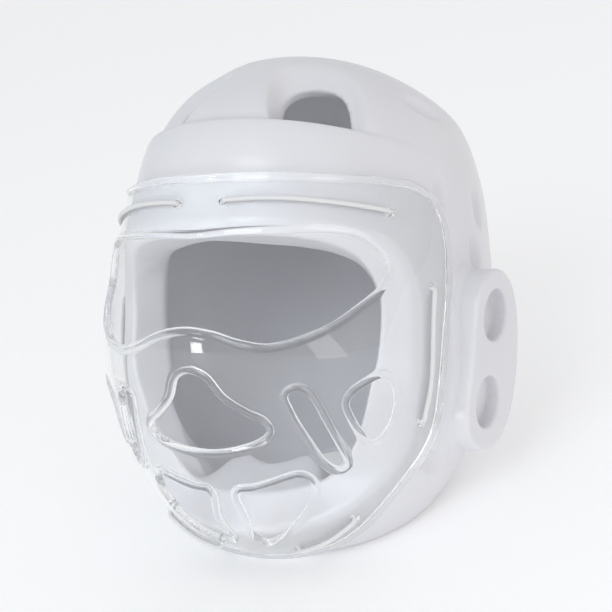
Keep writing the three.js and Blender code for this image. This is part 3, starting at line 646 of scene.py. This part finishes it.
def clear_material():
    """Clear moulded polycarbonate: glass that lets light through to what lies behind it."""
    material, nodes, links, shader = new_material("clear_polycarbonate")
    shader.inputs["Base Color"].default_value = (0.985, 0.99, 0.99, 1)
    shader.inputs["Transmission Weight"].default_value = 1.0
    shader.inputs["IOR"].default_value = 1.5
    coordinates = nodes.new("ShaderNodeTexCoord")
    haze = add_noise(nodes, links, coordinates, 60.0, 3.0)
    links.new(add_range(nodes, links, haze.outputs["Fac"], 0.0, 0.03), shader.inputs["Roughness"])
    ripple = add_noise(nodes, links, coordinates, 35.0, 1.0)
    bump = nodes.new("ShaderNodeBump")
    bump.inputs["Strength"].default_value = 0.012
    bump.inputs["Distance"].default_value = 0.002
    links.new(ripple.outputs["Fac"], bump.inputs["Height"])
    links.new(bump.outputs["Normal"], shader.inputs["Normal"])
    path = nodes.new("ShaderNodeLightPath")
    through = nodes.new("ShaderNodeBsdfTransparent")
    mix = nodes.new("ShaderNodeMixShader")
    links.new(path.outputs["Is Shadow Ray"], mix.inputs["Fac"])
    links.new(shader.outputs["BSDF"], mix.inputs[1])
    links.new(through.outputs["BSDF"], mix.inputs[2])
    links.new(mix.outputs["Shader"], nodes["Material Output"].inputs["Surface"])
    return material


def lace_material():
    """White braided cord: slanting strands both ways round the cord, with painted shade that darkens the
    grooves between the strands.
    """
    material, nodes, links, shader = new_material("braided_cord")
    uv = nodes.new("ShaderNodeUVMap")
    heights = []
    for slant in (1.0, -1.0):
        mapping = nodes.new("ShaderNodeMapping")
        mapping.inputs["Rotation"].default_value = (0, 0, slant * math.radians(45))
        links.new(uv.outputs["UV"], mapping.inputs["Vector"])
        wave = nodes.new("ShaderNodeTexWave")
        wave.inputs["Scale"].default_value = 2.0
        wave.inputs["Distortion"].default_value = 0.4
        links.new(mapping.outputs["Vector"], wave.inputs["Vector"])
        heights.append(wave.outputs["Fac"])
    weave = nodes.new("ShaderNodeMath")
    weave.operation = "MAXIMUM"
    links.new(heights[0], weave.inputs[0])
    links.new(heights[1], weave.inputs[1])
    # Painted shade: the colour goes from light to grey where the weave is low, in the grooves between the
    # strands.
    ramp = nodes.new("ShaderNodeValToRGB")
    ramp.color_ramp.elements[0].color = (0.64, 0.64, 0.65, 1)
    ramp.color_ramp.elements[1].color = (0.78, 0.78, 0.78, 1)
    links.new(weave.outputs["Value"], ramp.inputs["Fac"])
    links.new(ramp.outputs["Color"], shader.inputs["Base Color"])
    bump = nodes.new("ShaderNodeBump")
    bump.inputs["Strength"].default_value = 0.35
    bump.inputs["Distance"].default_value = 0.0003
    links.new(weave.outputs["Value"], bump.inputs["Height"])
    links.new(bump.outputs["Normal"], shader.inputs["Normal"])
    shader.inputs["Roughness"].default_value = 0.7
    shader.inputs["Sheen Weight"].default_value = 0.2
    return material


def floor_material():
    material, nodes, links, shader = new_material("pale_floor")
    coordinates = nodes.new("ShaderNodeTexCoord")
    tone = add_noise(nodes, links, coordinates, 3.0, 2.0)
    links.new(add_range(nodes, links, tone.outputs["Fac"], 0.55, 0.65), shader.inputs["Roughness"])
    shader.inputs["Base Color"].default_value = (0.95, 0.95, 0.95, 1)
    shader.inputs["Emission Color"].default_value = (1.0, 1.0, 1.0, 1)
    shader.inputs["Emission Strength"].default_value = 0.15
    return material


# Foam shell and ear pads
def floor_field(grid):
    """Height below the floor in the resting pose."""
    _, y, z = grid.coordinates()
    return (y * math.sin(PITCH_BACK) - z * math.cos(PITCH_BACK) - FLOOR_DROP).astype(np.float32)


def build_shell(material):
    grid = Grid((-116, -142, -146), (116, 122, 148), SHELL_STEP)
    skin_field = grid.distance(egg_mesh(shell_egg))
    field = skin_field
    for side in (1, -1):
        pad = grid.distance(ear_mesh(side)) - EAR_ROUND + EAR_ROOT_GAP
        root = common(pad, skin_field - EAR_COLLAR, EAR_ROUND)
        field = joined(field, root, EAR_FILLET)
        for row in DIMPLES:
            field = cut(field, grid.distance(dimple_mesh(row, side)), DIMPLE_ROUND)
    field = cut(field, grid.distance(egg_mesh(cavity_egg)), HOLLOW_ROUND)
    field = cut(field, grid.distance(face_mesh()), FACE_ROUND)
    for side in (1, -1):
        field = cut(field, grid.distance(vent_mesh(side)), HOOD_ROUND)
    field = common(field, np.broadcast_to(floor_field(grid), grid.shape), RIM_ROUND)
    points, faces = grid.surface(field)
    obj = make_object("foam_skin", points, faces, material)
    finish_piece(obj, "foam_shell")


def build_ear_pad(name, side, material):
    low, high = (60, -32, -86), (122, 52, 30)
    if side < 0:
        low, high = (-high[0], low[1], low[2]), (-low[0], high[1], high[2])
    grid = Grid(low, high, EAR_STEP)
    field = grid.distance(ear_mesh(side)) - EAR_ROUND
    for pocket in EAR_POCKETS:
        field = cut(field, grid.distance(pocket_mesh(pocket, side)), EAR_POCKET_ROUND)
    field = np.maximum(field, -(grid.distance(egg_mesh(shell_egg)) + EAR_SEAT))
    points, faces = grid.surface(field)
    obj = make_object(name + "_skin", points, faces, material)
    finish_piece(obj, name)


# Face mask
def bead_profile():
    """Section of an edge from the outer to the inner face, round the bead: distance into the sheet, lift."""
    top, bottom = MASK_GAP + MASK_WALL, MASK_GAP
    rows = [(SHEET_MARGIN, top), (3.8, top), (2.9, top + 0.03), (2.3, top + 0.1)]
    for deg in range(32, 300, 22):
        a = math.radians(deg)
        rows.append((BEAD_RADIUS * math.cos(a), BEAD_LIFT + BEAD_RADIUS * math.sin(a)))
    return rows + [(1.6, bottom - 0.02), (2.6, bottom), (SHEET_MARGIN, bottom)]


def hole_profile():
    top, bottom = MASK_GAP + MASK_WALL, MASK_GAP
    return [(1.2, top), (0.5, top), (0.15, top - 0.15), (0, top - 0.5),
            (0, bottom + 0.5), (0.15, bottom + 0.15), (0.5, bottom), (1.2, bottom)]


def edge_strip(outline, profile, inward):
    """Rings of points along an outline for each row of a profile, and the angles of the first ring."""
    at, normal = skin(outline)
    ahead = np.roll(at, -1, 0) - np.roll(at, 1, 0)
    ahead /= np.linalg.norm(ahead, axis=1, keepdims=True)
    side = np.cross(normal, ahead) * (1 if inward else -1)
    rings = []
    for into, lift in profile:
        rings.append(lifted(angles(at + side * into), np.full(len(at), lift)))
    return rings, angles(at + side * profile[0][0])


def inside_outline(points, outline):
    """Which points lie inside a closed outline."""
    x, y = points[:, 0][:, None], points[:, 1][:, None]
    a, b = outline, np.roll(outline, -1, 0)
    crosses = (a[:, 1] > y) != (b[:, 1] > y)
    rise = np.where(b[:, 1] == a[:, 1], 1e-12, b[:, 1] - a[:, 1])
    at = a[:, 0] + (y - a[:, 1]) / rise * (b[:, 0] - a[:, 0])
    return ((crosses & (x < at)).sum(1) % 2) == 1


def sheet_triangles(rim, holes):
    """Triangles of the sheet between the rim and the holes, in outline angles."""
    low, high = rim.min(0), rim.max(0)
    rows = np.arange(low[1], high[1], SHEET_STEP * 0.87)
    columns = np.arange(low[0], high[0], SHEET_STEP)
    inner = np.array([(x + (i % 2) * SHEET_STEP / 2, y) for i, y in enumerate(rows) for x in columns])
    keep = inside_outline(inner, rim)
    for hole in holes:
        keep &= ~inside_outline(inner, hole)
    inner = inner[keep]
    border = np.concatenate([rim] + holes)
    gap = np.min(np.linalg.norm(inner[:, None] - border[None], axis=2), axis=1)
    inner = inner[gap > SHEET_STEP * 0.5]
    points, edges = [], []
    for loop in [rim] + holes:
        first = len(points)
        points += [Vector(p) for p in loop]
        edges += [(first + i, first + (i + 1) % len(loop)) for i in range(len(loop))]
    points += [Vector(p) for p in inner]
    result = delaunay_2d_cdt(points, edges, [], 0, 1e-7)
    flat = np.array([tuple(p) for p in result[0]])
    triangles = np.array([tuple(f) for f in result[2]])
    middle = flat[triangles].mean(1)
    keep = inside_outline(middle, rim)
    for hole in holes:
        keep &= ~inside_outline(middle, hole)
    return flat, triangles[keep]


def lace_line(rows):
    """Line of a lace along the mask, turning in at both ends, and its two holes as outlines."""
    lift = MASK_GAP + MASK_WALL + LACE_GAP + LACE_RADIUS
    path = even(catmull(rows, False), LACE_STEPS, False)
    at, normal = skin(path)
    along = at + normal * lift
    ends, holes = [], []
    for here, neighbour in ((0, 1), (-1, -2)):
        ahead = along[here] - along[neighbour]
        ahead -= normal[here] * (ahead @ normal[here])
        ahead /= np.linalg.norm(ahead)
        bend = []
        for a in np.linspace(0, math.pi / 2, 8)[1:]:
            forward = ahead * LACE_TURN_IN * math.sin(a)
            inward = normal[here] * LACE_TURN_IN * (1 - math.cos(a))
            bend.append(along[here] + forward - inward)
        bend.append(bend[-1] - normal[here] * LACE_DEPTH)
        ends.append(np.array(bend))
        side = np.cross(normal[here], ahead)
        turns = np.linspace(0, 2 * math.pi, 28, endpoint=False)
        ring = bend[-1] + LACE_HOLE_RADIUS * (ahead * np.cos(turns)[:, None] + side * np.sin(turns)[:, None])
        holes.append(angles(ring))
    return np.concatenate([ends[0][::-1], along, ends[1]]), holes


def build_mask(holes, material):
    openings = [smooth_outline(whole(EYE_OPENING)), smooth_outline(whole(MOUTH_OPENING))]
    for rows in (SLIT_OPENING, LEAF_OPENING, CHIN_OPENING):
        openings += [smooth_outline(rows), smooth_outline(mirrored(rows))]
    strips = [edge_strip(smooth_outline(whole(MASK_RIM)), bead_profile(), True)]
    strips += [edge_strip(outline, bead_profile(), False) for outline in openings]
    strips += [edge_strip(counter_clockwise(hole), hole_profile(), False) for hole in holes]
    points, faces, facing = [], [], []

    def add(new_points, new_faces, new_facing):
        first = sum(len(p) for p in points)
        points.append(new_points)
        facing.append(new_facing)
        faces.extend([[first + i for i in face] for face in new_faces])

    for number, (rings, _) in enumerate(strips):
        count = len(rings[0])
        index = np.arange(len(rings) * count).reshape(len(rings), count)
        following = np.roll(index, -1, 1)
        quads = np.stack([index[:-1], index[1:], following[1:], following[:-1]], -1).reshape(-1, 4)
        flat_rings = np.zeros((len(rings), count))
        flat_rings[:2], flat_rings[-2:] = 1, -1
        add(np.concatenate(rings), (quads if number == 0 else quads[:, ::-1]).tolist(), flat_rings.ravel())
    flat, triangles = sheet_triangles(strips[0][1], [edge for _, edge in strips[1:]])
    for lift, order in ((MASK_GAP + MASK_WALL, 1), (MASK_GAP, -1)):
        add(lifted(flat, np.full(len(flat), lift)), triangles[:, ::order].tolist(), np.full(len(flat), order))
    mesh = bpy.data.meshes.new("clear_mask")
    mesh.from_pydata(np.concatenate(points).tolist(), [], faces)
    mesh.attributes.new("facing", "FLOAT", "POINT").data.foreach_set("value", np.concatenate(facing))
    body = bmesh.new()
    body.from_mesh(mesh)
    bmesh.ops.remove_doubles(body, verts=body.verts, dist=WELD_DISTANCE)
    bmesh.ops.recalc_face_normals(body, faces=body.faces)
    body.to_mesh(mesh)
    body.free()
    place = np.array([tuple(v.co) for v in mesh.vertices])
    turned_out = np.empty(len(place), np.float32)
    mesh.attributes["facing"].data.foreach_get("value", turned_out)
    mesh.attributes.remove(mesh.attributes["facing"])
    mesh.vertices.foreach_set("co", rested(place).astype(np.float32).ravel())
    mesh.shade_smooth()
    # The flat faces get the true normals of the skin, and the beads keep their own.
    _, normal = skin(angles(place))
    mesh.normals_split_custom_set_from_vertices((turned(normal) * turned_out[:, None]).tolist())
    mesh.materials.append(material)
    obj = bpy.data.objects.new("clear_mask", mesh)
    bpy.context.scene.collection.objects.link(obj)
    finish_piece(obj, "face_mask")


# Laces
def build_lace(name, line, material):
    count = len(line)
    ahead = np.gradient(line, axis=0)
    ahead /= np.linalg.norm(ahead, axis=1, keepdims=True)
    side = np.cross([0.3, 0.5, 0.8], ahead[0])
    points, travelled = [], [0.0]
    turns = np.linspace(0, 2 * math.pi, LACE_SIDES, endpoint=False)
    for i in range(count):
        side = side - ahead[i] * (side @ ahead[i])
        side /= np.linalg.norm(side)
        out = np.cross(ahead[i], side)
        points.append(line[i] + LACE_RADIUS * (side * np.cos(turns)[:, None] + out * np.sin(turns)[:, None]))
        if i:
            travelled.append(travelled[-1] + np.linalg.norm(line[i] - line[i - 1]))
    index = np.arange(count * LACE_SIDES).reshape(count, LACE_SIDES)
    following = np.roll(index, -1, 1)
    quads = np.stack([index[:-1], following[:-1], following[1:], index[1:]], -1).reshape(-1, 4)
    faces = quads.tolist() + [index[0][::-1].tolist(), index[-1].tolist()]
    obj = make_object(name + "_cord", np.concatenate(points), faces, material)
    layer = obj.data.uv_layers.new(name="UVMap")
    turn_length = 2 * math.pi * LACE_RADIUS
    for polygon in obj.data.polygons:
        for loop in polygon.loop_indices:
            vertex = obj.data.loops[loop].vertex_index
            row, column = divmod(vertex, LACE_SIDES)
            wraps = column == 0 and any(obj.data.loops[k].vertex_index % LACE_SIDES == LACE_SIDES - 1
                                        for k in polygon.loop_indices)
            part = 1.0 if wraps else column / LACE_SIDES
            layer.data[loop].uv = (travelled[row] / turn_length, part)
    finish_piece(obj, name)


# Stage, light and camera
CAMERA_DISTANCE = 1100.0
CAMERA_AZIMUTH = math.radians(30.02)
CAMERA_ELEVATION = math.radians(-11.17)
CAMERA_ROLL = math.radians(5.25)
FRAME_PIXELS = 612.0
FOCAL_PIXELS = CAMERA_DISTANCE / 0.57
AIM_PIXEL = (310.99, 310.81)


def build_camera():
    """Camera at the photograph's angle to the headgear, turned with it into the resting pose."""
    az, el, roll = CAMERA_AZIMUTH, CAMERA_ELEVATION, CAMERA_ROLL
    back = np.array([math.sin(az) * math.cos(el), -math.cos(az) * math.cos(el), math.sin(el)])
    right = np.array([math.cos(az), math.sin(az), 0.0])
    up = np.cross(back, right)
    rolled_right = math.cos(roll) * right + math.sin(roll) * up
    rolled_up = -math.sin(roll) * right + math.cos(roll) * up
    axes = [turned(axis) for axis in (rolled_right, rolled_up, back)]
    data = bpy.data.cameras.new("photo_camera")
    data.sensor_width = 36.0
    data.lens = data.sensor_width * FOCAL_PIXELS / FRAME_PIXELS
    data.shift_x = (FRAME_PIXELS / 2 - AIM_PIXEL[0]) / FRAME_PIXELS
    data.shift_y = (AIM_PIXEL[1] - FRAME_PIXELS / 2) / FRAME_PIXELS
    data.clip_start = 0.05
    camera = bpy.data.objects.new("photo_camera", data)
    matrix = Matrix([list(row) for row in np.array(axes).T]).to_4x4()
    matrix.translation = Vector(rested(back * CAMERA_DISTANCE))
    camera.matrix_world = matrix
    bpy.context.scene.collection.objects.link(camera)
    bpy.context.scene.camera = camera


# Studio: a world that is cooler on the left and warmer on the right, and soft boxes.
WORLD_STRENGTH = 0.79
WORLD_LEFT = (0.87, 0.905, 0.935, 1)
WORLD_RIGHT = (0.95, 0.925, 0.915, 1)
LIGHT_AIM = (0.0, 0.0, 0.11)
FLOOR_HALF = 6.0
# Name, place, width and height, power, colour.
LIGHTS = [
    ("key", (0.15, -1.6, 1.3), (0.9, 0.9), 8.5, (0.88, 0.94, 1.0)),
    ("veil", (1.45, -0.85, 0.2), (0.6, 1.3), 3.2, (1.0, 0.98, 0.97)),
    ("glint", (-0.78, -1.75, 0.24), (0.22, 0.36), 2.3, (1.0, 1.0, 1.0)),
]


def add_light(name, place, size, power, colour):
    data = bpy.data.lights.new(name, "AREA")
    data.shape = "RECTANGLE"
    data.size, data.size_y = size
    data.energy = power
    data.color = colour
    light = bpy.data.objects.new(name, data)
    light.location = place
    light.rotation_euler = (Vector(LIGHT_AIM) - Vector(place)).to_track_quat("-Z", "Y").to_euler()
    bpy.context.scene.collection.objects.link(light)


def build_stage(material):
    mesh = bpy.data.meshes.new("floor")
    corners = [(x * FLOOR_HALF, y * FLOOR_HALF, 0) for x, y in ((-1, -1), (1, -1), (1, 1), (-1, 1))]
    mesh.from_pydata(corners, [], [(0, 1, 2, 3)])
    mesh.materials.append(material)
    floor = bpy.data.objects.new("floor", mesh)
    bpy.context.scene.collection.objects.link(floor)
    world = bpy.data.worlds.new("studio")
    world.use_nodes = True
    nodes, links = world.node_tree.nodes, world.node_tree.links
    background = nodes["Background"]
    background.inputs["Strength"].default_value = WORLD_STRENGTH
    coordinates = nodes.new("ShaderNodeTexCoord")
    apart = nodes.new("ShaderNodeSeparateXYZ")
    links.new(coordinates.outputs["Generated"], apart.inputs["Vector"])
    across = nodes.new("ShaderNodeMapRange")
    across.inputs["From Min"].default_value = -1.0
    links.new(apart.outputs["X"], across.inputs["Value"])
    tone = nodes.new("ShaderNodeValToRGB")
    tone.color_ramp.elements[0].color = WORLD_LEFT
    tone.color_ramp.elements[1].color = WORLD_RIGHT
    links.new(across.outputs["Result"], tone.inputs["Fac"])
    links.new(tone.outputs["Color"], background.inputs["Color"])
    bpy.context.scene.world = world
    for light in LIGHTS:
        add_light(*light)
    scene = bpy.context.scene
    scene.view_settings.view_transform = "Standard"
    scene.view_settings.look = "None"
    scene.cycles.max_bounces = 48
    scene.cycles.transmission_bounces = 48
    scene.cycles.glossy_bounces = 32
    scene.cycles.transparent_max_bounces = 32


foam = foam_material()
clear = clear_material()
cord = lace_material()

build_camera()
lace_holes = []
for lace_name, lace_rows in LACES.items():
    for side_name, side_rows in (("left", lace_rows), ("right", mirrored(lace_rows))):
        lace_points, new_holes = lace_line(side_rows)
        lace_holes += new_holes
        build_lace(f"{lace_name}_lace_{side_name}", lace_points, cord)
build_mask(lace_holes, clear)
build_shell(foam)
build_ear_pad("ear_pad_left", 1, foam)
build_ear_pad("ear_pad_right", -1, foam)
build_stage(floor_material())
